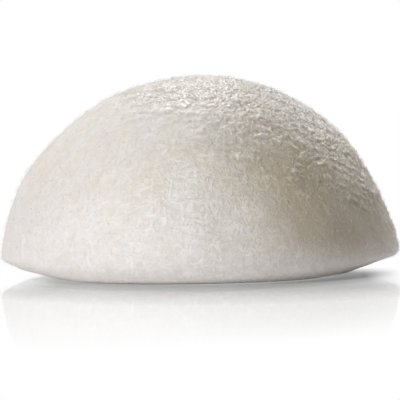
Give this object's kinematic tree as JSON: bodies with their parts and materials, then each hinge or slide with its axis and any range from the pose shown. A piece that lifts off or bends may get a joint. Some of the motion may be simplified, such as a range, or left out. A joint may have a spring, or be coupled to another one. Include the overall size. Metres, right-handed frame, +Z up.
{
  "type": "konjac sponge",
  "caption": "Half-ball konjac face sponge: a soft, open-pored dome with a thin rim, a slightly bowed underside and a flat to rest on.",
  "frame": {"origin": "centre of the flat that the sponge rests on", "axes": "+Z up through the top of the dome, which is round about it; +X and +Y are any two level directions at right angles"},
  "size_m": [0.08, 0.08, 0.04],
  "materials": {
    "konjac_foam": "matte"
  },
  "bodies": {
    "root": {"sponge_body": "konjac_foam"}
  },
  "joints": []
}
